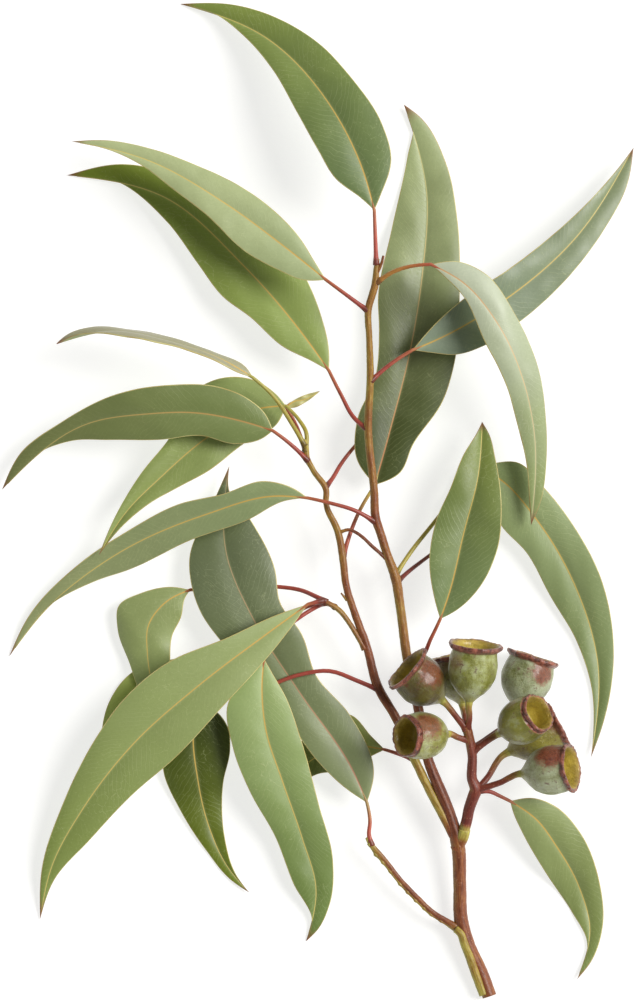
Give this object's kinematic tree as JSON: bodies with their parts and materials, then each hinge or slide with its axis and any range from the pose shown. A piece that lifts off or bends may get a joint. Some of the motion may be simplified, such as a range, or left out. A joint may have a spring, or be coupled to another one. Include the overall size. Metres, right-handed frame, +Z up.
{
  "type": "eucalyptus gum nut sprig",
  "caption": "Cut eucalyptus sprig with long curved leaves and a cluster of open gum nuts, lying flat.",
  "frame": {"origin": "middle of the bounding box in plan, on the surface that the sprig lies on", "axes": "+Z up from the surface, +Y from the cut end towards the top leaf, +X towards the gum nuts' side"},
  "size_m": [0.2278, 0.3597, 0.0378],
  "materials": {
    "bark": "satin red-brown bark",
    "fruit_bark": "satin dark red bark",
    "nut": "waxy olive green with rust patches",
    "leaf": "smooth grey-green leaf"
  },
  "bodies": {
    "root": {"woody_stem": "bark", "nut_stalk": "fruit_bark", "gum_nut_1": "nut", "gum_nut_2": "nut", "gum_nut_3": "nut", "gum_nut_4": "nut", "gum_nut_5": "nut", "gum_nut_6": "nut", "gum_nut_7": "nut", "gum_nut_8": "nut", "leaf_tip": "leaf", "leaf_upper_left_front": "leaf", "leaf_upper_left_back": "leaf", "leaf_upper_back": "leaf", "leaf_upper_right": "leaf", "leaf_drooping": "leaf", "leaf_right_back": "leaf", "leaf_right_front": "leaf", "leaf_edge_on": "leaf", "leaf_left_back": "leaf", "leaf_left_front": "leaf", "leaf_left_small": "leaf", "leaf_left_long": "leaf", "leaf_low_twig": "leaf", "leaf_small_curled": "leaf", "leaf_big_front": "leaf", "leaf_dark_left": "leaf", "leaf_dark_low": "leaf", "leaf_hanging": "leaf", "leaf_nut_stalk": "leaf", "leaf_behind_twig": "leaf", "leaf_hidden_upper": "leaf", "leaf_hidden_middle": "leaf"}
  },
  "joints": []
}
